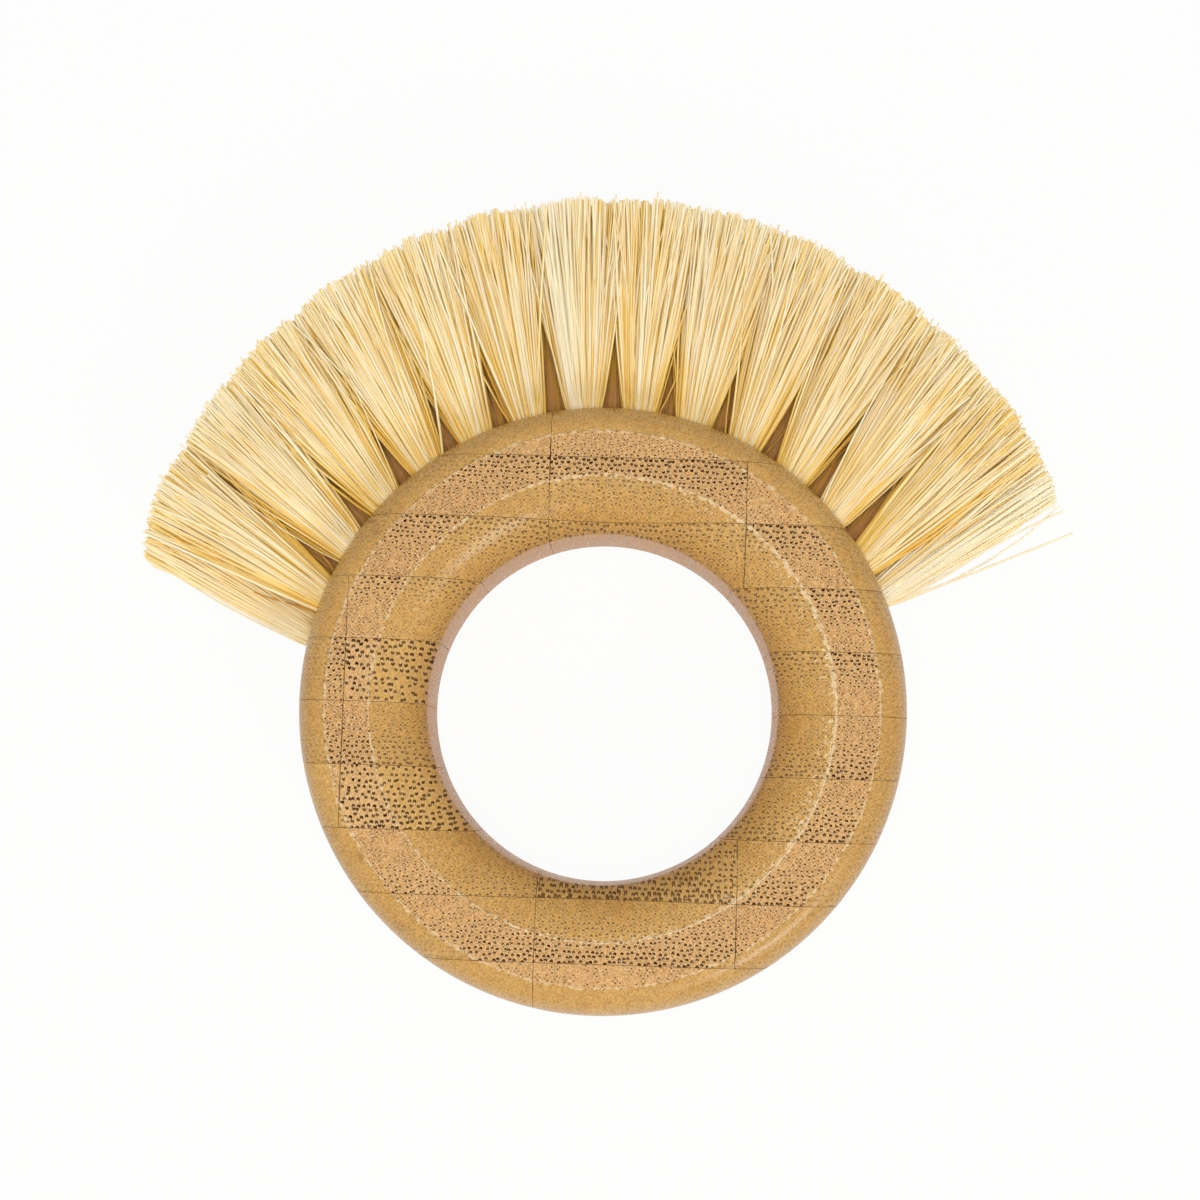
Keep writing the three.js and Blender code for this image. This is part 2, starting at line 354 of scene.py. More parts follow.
# Sanded laminated bamboo with a thin oil finish: end grain with dark fibre bundles that crowd at
# one glue line and thin out across the strip, a matt pinkish flat face, and glossier golden rounds
def makeBamboo():
    look = {
        "facePale": "#d6a86a",
        "faceDeep": "#c28e52",
        "roundPale": "#d4a85f",
        "roundDeep": "#bb8a42",
        "wall": "#d7ab7c",
        "dot": "#3c1a04",
        "speck": "#e6c692",
        "glue": "#3a2312",
        "edge": "#f2dcb2",
        "stain": "#966a30",
        "pulp": "#eedcbc",
    }
    # Shape of the dots' grid: how close its rows are, how they open up and how they are staggered
    rows = {"close": 0.85, "opening": 0.012, "stagger": 0.5}
    faceHeight = ring["thickness"] / 2
    wallHeight = faceHeight - ring["innerRoundHeight"]
    material, tree, shader = newMaterial("oiled_laminated_bamboo")
    tints = {name: linearColour(code) for name, code in look.items()}
    place = addNode(tree, "TexCoord", {}, {}).node.outputs["Object"]
    # Millimetres along the strips' own directions: u across, w over the layers, z along the grain
    point = addNode(tree, "Mapping", {"vector_type": "TEXTURE"}, {
        "Vector": place,
        "Location": Vector((*ring["centre"], 0)) * mm,
        "Rotation": (0, 0, lamination["turn"]),
        "Scale": (mm, mm, mm),
    })
    u, w, z = addNode(tree, "SeparateXYZ", {}, {0: point}).node.outputs
    flat = addNode(tree, "CombineXYZ", {}, {0: u, 1: w})
    radius = addNode(tree, "VectorMath", {"operation": "LENGTH"}, {0: flat})
    # What cutStrip noted on each strip
    noted = []
    for name in ("stripEdges", "stripDots", "stripTone"):
        values = addNode(tree, "Attribute", {"attribute_name": name}, {}).node.outputs["Vector"]
        noted.extend(addNode(tree, "SeparateXYZ", {}, {0: values}).node.outputs)
    left, right, denseLine, side, spacing, dotSize, reach, tone, seed = noted

    # Zones: flat face front and back, hole wall, and rounds between them
    fromMiddle = addNode(tree, "Math", {"operation": "SUBTRACT"}, {0: z, 1: faceHeight})
    height = addNode(tree, "Math", {"operation": "ABSOLUTE"}, {0: fromMiddle})
    onFace = addNode(tree, "MapRange", {"interpolation_type": "SMOOTHSTEP"}, {
        "Value": height, "From Min": faceHeight - 0.1, "From Max": faceHeight - 0.02,
    })
    onOuter = addNode(tree, "MapRange", {"interpolation_type": "SMOOTHSTEP"}, {
        "Value": radius, "From Min": ring["faceOuter"] - 0.3, "From Max": ring["faceOuter"] + 0.7,
    })
    onInner = addNode(tree, "Math", {"operation": "SUBTRACT"}, {0: 1.0, 1: onOuter})
    lowDown = addNode(tree, "MapRange", {"interpolation_type": "SMOOTHSTEP"}, {
        "Value": height, "From Min": wallHeight + 0.75, "From Max": wallHeight + 0.35,
    })
    onWall = addNode(tree, "Math", {"operation": "MULTIPLY"}, {0: lowDown, 1: onInner})

    # Rows of dots, counted from the glue line that they crowd at; the rows open up further in
    below = addNode(tree, "Math", {"operation": "SUBTRACT"}, {0: denseLine, 1: w})
    depth = addNode(tree, "Math", {"operation": "MULTIPLY"}, {0: below, 1: side})
    inReach = addNode(tree, "Math", {"operation": "DIVIDE"}, {0: depth, 1: reach})
    closeRows = addNode(tree, "Math", {"operation": "MULTIPLY"}, {0: spacing, 1: rows["close"]})
    rowPitch = addNode(tree, "Math", {"operation": "MULTIPLY_ADD"}, {
        0: depth, 1: rows["opening"], 2: closeRows,
    })
    row = addNode(tree, "Math", {"operation": "DIVIDE"}, {0: depth, 1: rowPitch})
    column = addNode(tree, "Math", {"operation": "DIVIDE"}, {0: u, 1: spacing})
    staggered = addNode(tree, "Math", {"operation": "MULTIPLY_ADD"}, {
        0: row, 1: rows["stagger"], 2: column,
    })
    shifted = addNode(tree, "Math", {"operation": "ADD"}, {0: staggered, 1: seed})
    lattice = addNode(tree, "CombineXYZ", {}, {0: shifted, 1: row})
    # Bold strips come from close under the stem's skin, where the bundles are large and scattered
    bold = addNode(tree, "MapRange", {}, {"Value": reach, "From Min": 9.0, "From Max": 12.0})
    notBold = addNode(tree, "Math", {"operation": "SUBTRACT"}, {0: 1.0, 1: bold})
    scatter = addNode(tree, "MapRange", {}, {"Value": bold, "To Min": 0.55, "To Max": 0.72})
    cells = addNode(tree, "TexVoronoi", {"voronoi_dimensions": "2D"}, {
        "Vector": lattice, "Scale": 1.0, "Randomness": scatter,
    }).node.outputs
    away = addNode(tree, "VectorMath", {"operation": "SUBTRACT"}, {
        0: lattice, 1: cells["Position"],
    })
    awayX, awayY, _ = addNode(tree, "SeparateXYZ", {}, {0: away}).node.outputs
    awayU = addNode(tree, "Math", {"operation": "MULTIPLY_ADD"}, {
        0: awayY, 1: -rows["stagger"], 2: awayX,
    })
    awayW = addNode(tree, "Math", {"operation": "MULTIPLY"}, {0: awayY, 1: rows["close"]})
    chance, quarter, strength = addNode(tree, "SeparateColor", {}, {0: cells["Color"]}).node.outputs

    # One fibre bundle in each cell, turned a little; bold ones lie either way up
    upsideDown = addNode(tree, "Math", {"operation": "GREATER_THAN"}, {0: quarter, 1: 0.5})
    overturned = addNode(tree, "Math", {"operation": "MULTIPLY"}, {0: upsideDown, 1: bold})
    flip = addNode(tree, "Math", {"operation": "MULTIPLY_ADD"}, {0: overturned, 1: -2.0, 2: 1.0})
    flippedW = addNode(tree, "Math", {"operation": "MULTIPLY"}, {0: awayW, 1: flip})
    upright = addNode(tree, "CombineXYZ", {}, {0: awayU, 1: flippedW})
    swing = addNode(tree, "MapRange", {}, {"Value": strength, "To Min": -0.35, "To Max": 0.35})
    bundle = addNode(tree, "VectorRotate", {"rotation_type": "Z_AXIS"}, {
        "Vector": upright, "Angle": swing,
    })
    bundleX, bundleY, _ = addNode(tree, "SeparateXYZ", {}, {0: bundle}).node.outputs
    # Its dark cup, large at the crowded glue line and small further in
    shrink = addNode(tree, "MapRange", {}, {"Value": inReach, "To Min": 1.0, "To Max": 0.48})
    fullSize = addNode(tree, "Math", {"operation": "DIVIDE"}, {0: dotSize, 1: spacing})
    size = addNode(tree, "Math", {"operation": "MULTIPLY"}, {0: fullSize, 1: shrink})
    cupFar = addNode(tree, "MapRange", {}, {"Value": inReach, "To Min": 0.08, "To Max": 0.26})
    cupAt = addNode(tree, "Math", {"operation": "MULTIPLY"}, {0: cupFar, 1: notBold})
    fromCup = addNode(tree, "Math", {"operation": "SUBTRACT"}, {0: bundleY, 1: cupAt})
    cupPoint = addNode(tree, "CombineXYZ", {}, {0: bundleX, 1: fromCup})
    cupAway = addNode(tree, "VectorMath", {"operation": "LENGTH"}, {0: cupPoint})
    cupShare = addNode(tree, "Math", {"operation": "DIVIDE"}, {0: cupAway, 1: size})
    cup = addNode(tree, "MapRange", {"interpolation_type": "SMOOTHSTEP"}, {
        "Value": cupShare, "From Min": 1.2, "From Max": 0.85,
    })
    # Pale vessels bite into the cup and leave it crescent-shaped
    fromSpeck = addNode(tree, "Math", {"operation": "MULTIPLY_ADD"}, {0: size, 1: 0.9, 2: fromCup})
    speckPoint = addNode(tree, "CombineXYZ", {}, {0: bundleX, 1: fromSpeck})
    speckAway = addNode(tree, "VectorMath", {"operation": "LENGTH"}, {0: speckPoint})
    speckShare = addNode(tree, "Math", {"operation": "DIVIDE"}, {0: speckAway, 1: size})
    bite = addNode(tree, "MapRange", {}, {"Value": bold, "To Min": 1.0, "To Max": 0.85})
    speck = addNode(tree, "MapRange", {"interpolation_type": "SMOOTHSTEP"}, {
        "Value": speckShare, "From Min": 0.7, "From Max": 0.35, "To Max": bite,
    })
    bitten = addNode(tree, "Math", {"operation": "SUBTRACT"}, {0: 1.0, 1: speck})
    crescent = addNode(tree, "Math", {"operation": "MULTIPLY"}, {0: cup, 1: bitten})
    # A small dot across from the cup and, further in, one on either side
    capAway = addNode(tree, "VectorMath", {"operation": "DISTANCE"}, {0: bundle, 1: (0, -0.27, 0)})
    cap = addNode(tree, "MapRange", {"interpolation_type": "SMOOTHSTEP"}, {
        "Value": capAway, "From Min": 0.17, "From Max": 0.08, "To Max": 0.7,
    })
    folded = addNode(tree, "VectorMath", {"operation": "ABSOLUTE"}, {0: bundle})
    sideAway = addNode(tree, "VectorMath", {"operation": "DISTANCE"}, {0: folded, 1: (0.25, 0, 0)})
    sideDot = addNode(tree, "MapRange", {"interpolation_type": "SMOOTHSTEP"}, {
        "Value": sideAway, "From Min": 0.14, "From Max": 0.06, "To Max": 0.5,
    })
    farIn = addNode(tree, "MapRange", {}, {"Value": inReach, "From Min": 0.4})
    sideDots = addNode(tree, "Math", {"operation": "MULTIPLY"}, {0: sideDot, 1: farIn})
    smallDots = addNode(tree, "Math", {"operation": "MAXIMUM"}, {0: cap, 1: sideDots})
    plainDots = addNode(tree, "Math", {"operation": "MULTIPLY"}, {0: smallDots, 1: notBold})
    dark = addNode(tree, "Math", {"operation": "MAXIMUM"}, {0: crescent, 1: plainDots})
    # Scraped pulp shows pale round each bundle
    halo = addNode(tree, "MapRange", {"interpolation_type": "SMOOTHSTEP"}, {
        "Value": cupShare, "From Min": 1.9, "From Max": 1.2, "To Max": 0.25,
    })
    pale = addNode(tree, "Math", {"operation": "MAXIMUM"}, {0: halo, 1: speck})
    thinning = addNode(tree, "MapRange", {}, {
        "Value": inReach, "From Min": 0.7, "From Max": 1.3, "To Max": 0.3,
    })
    kept = addNode(tree, "Math", {"operation": "GREATER_THAN"}, {0: chance, 1: thinning})
    # How much dots and glue show in each zone: bold dots stay plain on the polished inner round,
    # small ones are fainter there, and next to nothing shows on the hole's wall
    zone = addNode(tree, "MapRange", {}, {
        "Value": reach, "From Min": 6.0, "From Max": 13.0, "To Min": 0.72, "To Max": 0.92,
    })
    glueShow = 0.65
    for where, dotShare, glueShare in ((onOuter, 0.34, 0.35), (onWall, 0.04, 0.1), (onFace, 1.0, 1.0)):
        zone = addNode(tree, "Mix", {"data_type": "FLOAT"}, {
            "Factor": where, "A": zone, "B": dotShare,
        })
        glueShow = addNode(tree, "Mix", {"data_type": "FLOAT"}, {
            "Factor": where, "A": glueShow, "B": glueShare,
        })
    boldness = addNode(tree, "MapRange", {}, {"Value": strength, "To Min": 0.8, "To Max": 1.0})
    keptBold = addNode(tree, "Math", {"operation": "MULTIPLY"}, {0: kept, 1: boldness})
    dotZone = addNode(tree, "Math", {"operation": "MULTIPLY"}, {0: keptBold, 1: zone})
    dotMask = addNode(tree, "Math", {"operation": "MULTIPLY"}, {0: dark, 1: dotZone})
    paleMask = addNode(tree, "Math", {"operation": "MULTIPLY"}, {0: pale, 1: dotZone})

    # Fine speckle of the ground tissue, a quarter of a millimetre, drawn out along the grain
    drawnOut = addNode(tree, "Mapping", {}, {"Vector": point, "Scale": (1.0, 1.0, 0.06)})
    speckle = addNode(tree, "TexNoise", {}, {"Vector": drawnOut, "Scale": 3.8, "Detail": 1.0})
    cloud = addNode(tree, "TexNoise", {}, {"Vector": drawnOut, "Scale": 0.16, "Detail": 2.0})
    toneCloud = addNode(tree, "Math", {"operation": "MULTIPLY_ADD"}, {0: cloud, 1: 0.7, 2: tone})
    toneShare = addNode(tree, "Math", {"operation": "SUBTRACT"}, {0: toneCloud, 1: 0.35})
    faceColour = addNode(tree, "Mix", {"data_type": "RGBA"}, {
        "Factor": toneShare, "A": tints["facePale"], "B": tints["faceDeep"],
    })
    roundColour = addNode(tree, "Mix", {"data_type": "RGBA"}, {
        "Factor": toneShare, "A": tints["roundPale"], "B": tints["roundDeep"],
    })
    mottle = addNode(tree, "TexNoise", {}, {"Vector": drawnOut, "Scale": 0.3, "Detail": 3.0})
    stainMask = addNode(tree, "MapRange", {"interpolation_type": "SMOOTHSTEP"}, {
        "Value": mottle, "From Min": 0.62, "From Max": 0.78, "To Max": 0.5,
    })
    stained = addNode(tree, "Mix", {"data_type": "RGBA"}, {
        "Factor": stainMask, "A": roundColour, "B": tints["stain"],
    })
    zoned = addNode(tree, "Mix", {"data_type": "RGBA"}, {
        "Factor": onFace, "A": stained, "B": faceColour,
    })
    walled = addNode(tree, "Mix", {"data_type": "RGBA"}, {
        "Factor": onWall, "A": zoned, "B": tints["wall"],
    })
    light = addNode(tree, "MapRange", {}, {
        "Value": speckle, "From Min": 0.3, "From Max": 0.7, "To Min": 0.72, "To Max": 1.24,
    })
    grain = addNode(tree, "Mix", {"data_type": "FLOAT"}, {"Factor": onFace, "A": 0.7, "B": 1.0})
    speckled = addNode(tree, "HueSaturation", {}, {"Value": light, "Fac": grain, "Color": walled})
    # Pale flecks of pulp, a quarter of a millimetre, on the cut ends and a few on the rounds
    fleck = addNode(tree, "TexNoise", {}, {"Vector": drawnOut, "Scale": 4.6, "Detail": 1.0})
    fleckMask = addNode(tree, "MapRange", {"interpolation_type": "SMOOTHSTEP"}, {
        "Value": fleck, "From Min": 0.5, "From Max": 0.68, "To Max": 0.5,
    })
    fleckZone = addNode(tree, "Mix", {"data_type": "FLOAT"}, {"Factor": onFace, "A": 0.4, "B": 1.0})
    fleckShow = addNode(tree, "Math", {"operation": "MULTIPLY"}, {0: fleckMask, 1: fleckZone})

    # Glue lines: dark and broken, about 0.15 mm wide
    fromLeft = addNode(tree, "Math", {"operation": "SUBTRACT"}, {0: u, 1: left})
    fromRight = addNode(tree, "Math", {"operation": "SUBTRACT"}, {0: right, 1: u})
    sideways = addNode(tree, "Math", {"operation": "MINIMUM"}, {0: fromLeft, 1: fromRight})
    fromFar = addNode(tree, "Math", {"operation": "SUBTRACT"}, {0: lamination["pitch"], 1: depth})
    overLayer = addNode(tree, "Math", {"operation": "MINIMUM"}, {0: depth, 1: fromFar})
    columnGlue = addNode(tree, "MapRange", {"interpolation_type": "SMOOTHSTEP"}, {
        "Value": sideways, "From Min": 0.13, "From Max": 0.03, "To Max": 0.75,
    })
    layerGlue = addNode(tree, "MapRange", {"interpolation_type": "SMOOTHSTEP"}, {
        "Value": overLayer, "From Min": 0.11, "From Max": 0.02, "To Max": 0.14,
    })
    breaks = addNode(tree, "TexNoise", {}, {"Vector": drawnOut, "Scale": 0.2, "Detail": 4.0})
    unbroken = addNode(tree, "MapRange", {"interpolation_type": "SMOOTHSTEP"}, {
        "Value": breaks, "From Min": 0.46, "From Max": 0.6, "To Min": 0.12,
    })
    anyGlue = addNode(tree, "Math", {"operation": "MAXIMUM"}, {0: columnGlue, 1: layerGlue})
    plainGlue = addNode(tree, "Math", {"operation": "MULTIPLY"}, {0: anyGlue, 1: unbroken})
    glueMask = addNode(tree, "Math", {"operation": "MULTIPLY"}, {0: plainGlue, 1: glueShow})

    # Torn fibres along both edges of the flat face show as a broken cream line
    innerAway = addNode(tree, "Math", {"operation": "SUBTRACT"}, {0: radius, 1: ring["faceInner"]})
    innerNear = addNode(tree, "Math", {"operation": "ABSOLUTE"}, {0: innerAway})
    onRight = addNode(tree, "MapRange", {}, {"Value": u, "From Min": -12.0, "From Max": 22.0})
    innerWider = addNode(tree, "Math", {"operation": "MULTIPLY_ADD"}, {
        0: onRight, 1: -0.13, 2: innerNear,
    })
    outerAway = addNode(tree, "Math", {"operation": "SUBTRACT"}, {0: radius, 1: ring["faceOuter"]})
    outerNear = addNode(tree, "Math", {"operation": "ABSOLUTE"}, {0: outerAway})
    nearest = addNode(tree, "Math", {"operation": "MINIMUM"}, {0: innerWider, 1: outerNear})
    ragged = addNode(tree, "TexNoise", {}, {"Vector": point, "Scale": 1.6, "Detail": 3.0})
    tornBy = addNode(tree, "Math", {"operation": "MULTIPLY_ADD"}, {0: ragged, 1: -1.3, 2: nearest})
    tornLine = addNode(tree, "MapRange", {"interpolation_type": "SMOOTHSTEP"}, {
        "Value": tornBy, "From Min": -0.44, "From Max": -0.82, "To Max": 0.8,
    })
    atFaceHeight = addNode(tree, "MapRange", {"interpolation_type": "SMOOTHSTEP"}, {
        "Value": height, "From Min": faceHeight - 0.9, "From Max": faceHeight - 0.3,
    })
    edgeLine = addNode(tree, "Math", {"operation": "MULTIPLY"}, {0: tornLine, 1: atFaceHeight})
    # Loose specks beside the inner line, most of them on the right of the ring
    besideLine = addNode(tree, "MapRange", {}, {
        "Value": innerAway, "From Min": -2.6, "From Max": -0.2,
    })
    notOnFace = addNode(tree, "MapRange", {}, {
        "Value": innerAway, "From Min": 0.3, "From Max": 0.1,
    })
    chips = addNode(tree, "TexNoise", {}, {"Vector": point, "Scale": 2.4, "Detail": 1.0})
    chipped = addNode(tree, "MapRange", {"interpolation_type": "SMOOTHSTEP"}, {
        "Value": chips, "From Min": 0.58, "From Max": 0.68, "To Max": 0.85,
    })
    chipsBeside = addNode(tree, "Math", {"operation": "MULTIPLY"}, {0: chipped, 1: besideLine})
    chipsRight = addNode(tree, "Math", {"operation": "MULTIPLY"}, {0: chipsBeside, 1: onRight})
    chipsOff = addNode(tree, "Math", {"operation": "MULTIPLY"}, {0: chipsRight, 1: notOnFace})
    edgeMask = addNode(tree, "Math", {"operation": "MAXIMUM"}, {0: edgeLine, 1: chipsOff})

    # All of it over the ground colour, one on the other
    colour = speckled
    masks = {"pulp": fleckShow, "speck": paleMask, "dot": dotMask, "glue": glueMask, "edge": edgeMask}
    for name, mask in masks.items():
        colour = addNode(tree, "Mix", {"data_type": "RGBA"}, {
            "Factor": mask, "A": colour, "B": tints[name],
        })
    tree.links.new(colour, shader.inputs["Base Color"])

    # The rounds are polished by handling, the face is only sanded
    polish = addNode(tree, "Mix", {"data_type": "FLOAT"}, {"Factor": onFace, "A": 0.3, "B": 0.6})
    rough = addNode(tree, "MapRange", {}, {
        "Value": speckle, "From Min": 0.25, "From Max": 0.75, "To Min": -0.1, "To Max": 0.1,
    })
    roughness = addNode(tree, "Math", {"operation": "ADD"}, {0: polish, 1: rough})
    tree.links.new(roughness, shader.inputs["Roughness"])
    relief = addNode(tree, "Bump", {}, {"Strength": 0.25, "Distance": 0.03 * mm, "Height": speckle})
    tree.links.new(relief, shader.inputs["Normal"])
    shader.inputs["IOR"].default_value = 1.5
    # Gloss from the rounds outwards, next to none on the hole's wall
    shine = addNode(tree, "MapRange", {}, {
        "Value": radius, "From Min": ring["holeRadius"] + 0.4, "From Max": ring["holeRadius"] + 3.5,
        "To Min": 0.02, "To Max": 0.5,
    })
    # Open pores give no gloss
    solid = addNode(tree, "Math", {"operation": "SUBTRACT"}, {0: 1.0, 1: dotMask})
    shineOnSolid = addNode(tree, "Math", {"operation": "MULTIPLY"}, {0: shine, 1: solid})
    tree.links.new(shineOnSolid, shader.inputs["Specular IOR Level"])
    return material


def makeHandle():
    blank = makeRing()
    drillHoles(blank)
    bamboo = makeBamboo()
    strips = [cutStrip(blank, name, i + 1) for i, name in enumerate(stripLooks)]
    bpy.data.meshes.remove(blank.data)
    deselectAll()
    for strip in strips:
        strip.data.materials.clear()
        strip.data.materials.append(bamboo)
        strip.select_set(True)
    bpy.context.view_layer.objects.active = strips[0]
    bpy.ops.object.shade_smooth_by_angle(angle=math.radians(30))
    deselectAll()
    print("bamboo strips cut:", len(strips))


makeHandle()


# Fibres: each tuft is a round bunch of them that opens towards its tips
fibre = {
    "seed": 100,
    "perTuft": 500,
    "sides": 6,
    "steps": 5,
    "rootDepth": 3.0,        # how far the fibres go down their hole
    "rootSpread": 1.6,
    "crowding": 0.38,        # 0.5 spreads the fibres evenly, less crowds them at the tuft's outside
    "tipSpreadAlong": 5.5,
    "tipSpreadAcross": 3.7,
    "rowLean": 1.0,
    "aimLength": 26.0,
    "tipWander": 0.8,        # along the rim; across it the tips wander less
    "acrossWander": 0.6,
    "outsideWander": 0.3,    # on the free side of an end tuft
    "bend": 0.35,
    "wave": 0.12,
    "wavesPerFibre": 1.3,
    "thickness": (0.1, 0.18),
    "flatness": 0.55,        # plant fibres are flat: half as thick as wide, most of them lying flat
    "twist": 0.35,
    "taper": 0.9,
    "trimWander": 0.22,
    "longer": 0.2,
    "shortShare": 0.1,
    "shortBy": (0.8, 5.0),
    "flyawayShare": 0.08,
    "flyaway": 2.8,
    "flyawayBend": 2.5,
    "tuftLean": 0.4,         # tufts lean a little to one side or the other
    "lowest": 0.5,
}
# Tone of the fibres, from cream at 0 to brown at 1.7: random from fibre to fibre, plus painted shade
# under other fibres and along their edges
fibreToneAndShade = {
    "spread": 0.18,          # from fibre to fibre
    "tuftSpread": 0.03,      # from tuft to tuft
    "inner": 0.3,            # painted shade within a tuft, under its outer fibres
    "middle": 1.5,           # painted shade in the middle of the fan's thickness, under other fibres
    "middleShadeReach": 4.4,
    "middleShadeFull": 1.3,
    "rootFull": 1.35,        # most of that painted shade at the roots, and this share of it at the tips
    "atTip": 0.6,
    "edge": 1.0,             # painted shade along both edges of a fibre, for its shaded sides and light shining through
    "edgeShadeAtRoot": 0.5,
    "cutEnd": 0.5,           # share of all this painted shade on the cut ends, which are paler
    "lock": -0.5,            # in the pale locks, and how far to the side and the front they start
    "lockFrom": (0.15, 0.25),
}
# The end tufts stand free, so they lean inwards and fill the fan's whole thickness; they get no
# painted shade in the fan's middle
endTufts = {
    "back_01": {
        "lean": 1.6, "rise": 3.6, "inside": 0, "outer": -1, "base": 1.5, "spread": 0.85, "longer": 0.3,
    },
    "back_14": {
        "lean": -0.4, "rise": 3.6, "inside": 0, "outer": 1, "base": 1, "spread": 0.85, "longer": 1.0,
    },
}
# Tufts with a lock of paler fibres, on their left -1 or right 1
paleLocks = {"front_07": -1, "back_14": 1}
# Tips of two fibres that stand off the right end of the fan
strays = {"back_14": [(60.2, 7.8, 14.0), (61.0, 4.9, 14.0)]}


# Tampico fibre: straight, stiff plant fibre, cut across, cream to straw with a soft gloss
def makeFibreMaterial():
    look = {
        "cream": "#fff6da",
        "straw": "#fcdc7c",
        "honey": "#efb840",
        "shadeBrown": "#d69e62",
    }
    # Tones between which each darker colour comes in; honey and brown are reached mostly through the
    # painted shade that growTuft adds to each fibre's tone
    comesIn = {"straw": (0.0, 0.6), "honey": (0.6, 1.2), "shadeBrown": (1.15, 1.7)}
    material, tree, shader = newMaterial("tampico_plant_fibre")
    tints = {name: linearColour(code) for name, code in look.items()}
    tone = addNode(tree, "Attribute", {"attribute_name": "fibreToneAndShade"}, {}).node.outputs["Fac"]
    place = addNode(tree, "TexCoord", {}, {}).node.outputs["Object"]
    # Slow change of colour along and between fibres, over about 6 mm
    cloud = addNode(tree, "TexNoise", {}, {"Vector": place, "Scale": 1 / (6.25 * mm), "Detail": 3.0})
    shifted = addNode(tree, "Math", {"operation": "MULTIPLY_ADD"}, {0: cloud, 1: 0.5, 2: tone})
    share = addNode(tree, "Math", {"operation": "SUBTRACT"}, {0: shifted, 1: 0.25})
    colour = tints["cream"]
    for name, (start, full) in comesIn.items():
        part = addNode(tree, "MapRange", {}, {"Value": share, "From Min": start, "From Max": full})
        colour = addNode(tree, "Mix", {"data_type": "RGBA"}, {
            "Factor": part, "A": colour, "B": tints[name],
        })
    tree.links.new(colour, shader.inputs["Base Color"])
    # Slow change of gloss down each fibre's own lane
    lanes = addNode(tree, "UVMap", {"uv_map": "OFBake"}, {})
    ribs = addNode(tree, "Mapping", {}, {
        "Vector": lanes, "Scale": (4.0 * fibre["perTuft"], 5.0, 1.0),
    })
    rib = addNode(tree, "TexNoise", {"noise_dimensions": "2D"}, {
        "Vector": ribs, "Scale": 1.0, "Detail": 1.0,
    })
    rough = addNode(tree, "MapRange", {}, {"Value": rib, "To Min": 0.45, "To Max": 0.65})
    tree.links.new(rough, shader.inputs["Roughness"])
    shader.inputs["IOR"].default_value = 1.45
    shader.inputs["Specular IOR Level"].default_value = 0.4
    return material


# The one fibre that all others copy: a six-sided stick cut into steps, its length from 0 to 1
def makeFibreStick():
    deselectAll()
    bpy.ops.mesh.primitive_cylinder_add(
        vertices=fibre["sides"],
        radius=1,
        depth=1,
        location=(0, 0, 0.5),
    )
    stick = bpy.context.object
    bpy.ops.object.transform_apply(location=True)
    bpy.ops.object.mode_set(mode="EDIT")
    for i in range(1, fibre["steps"]):
        bpy.ops.mesh.select_all(action="SELECT")
        bpy.ops.mesh.bisect(plane_co=(0, 0, i / fibre["steps"]), plane_no=(0, 0, 1))
    bpy.ops.object.mode_set(mode="OBJECT")
    points = np.array([v.co for v in stick.data.vertices])
    faces = [list(p.vertices) for p in stick.data.polygons]
    bpy.data.meshes.remove(stick.data)
    return points, faces


# How far along its line each fibre meets the trimmed outline
def lengthToTrim(tuft, root, way):
    centre = Vector((*ring["centre"], 0)) + Vector((*fan["trimCentre"], 0))
    off = centre - tuft["mouth"]
    middle = np.array((off.dot(tuft["along"]), off.dot(tuft["out"])))
    start = root[:, :2] - middle
    a = (way[:, :2] ** 2).sum(1)
    b = (start * way[:, :2]).sum(1)
    c = (start ** 2).sum(1) - fan["trimRadius"] ** 2
    return (np.sqrt(b * b - a * c) - b) / a


